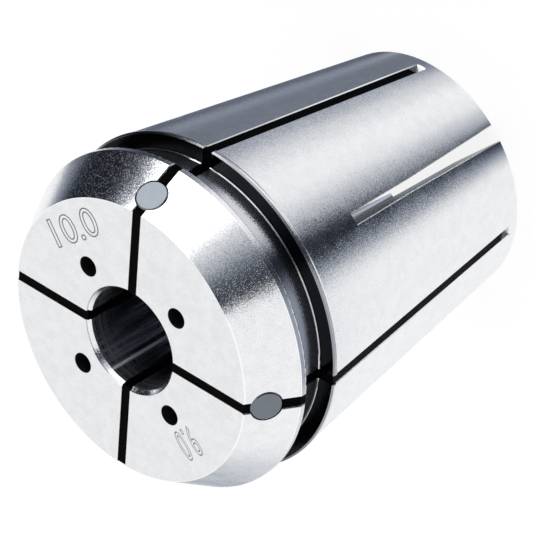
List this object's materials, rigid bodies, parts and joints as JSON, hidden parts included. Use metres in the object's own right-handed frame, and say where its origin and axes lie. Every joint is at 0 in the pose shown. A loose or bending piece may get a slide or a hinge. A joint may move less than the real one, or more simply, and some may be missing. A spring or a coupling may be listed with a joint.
{
  "type": "er collet",
  "caption": "Sealed spring collet: a slotted steel cone with a straight bore that grips a tool shank, rubber-filled slots, seal plugs and coolant holes.",
  "frame": {"origin": "centre of the small rear end, in the plane that the collet stands on", "axes": "+Z along the collet axis from the rear end to the front face, +X through the middle of one front slot"},
  "size_m": [0.033, 0.033, 0.04],
  "materials": {
    "body": "hardened steel, finely ground with a satin sheen",
    "seal": "black moulded rubber with a slight gloss",
    "plug": "smooth dark grey steel"
  },
  "bodies": {
    "root": {"collet_body": "body", "slot_seal_1": "seal", "slot_seal_2": "seal", "slot_seal_3": "seal", "slot_seal_4": "seal", "seal_plug_1": "plug", "seal_plug_2": "plug", "seal_plug_3": "plug", "seal_plug_4": "plug"}
  },
  "joints": []
}
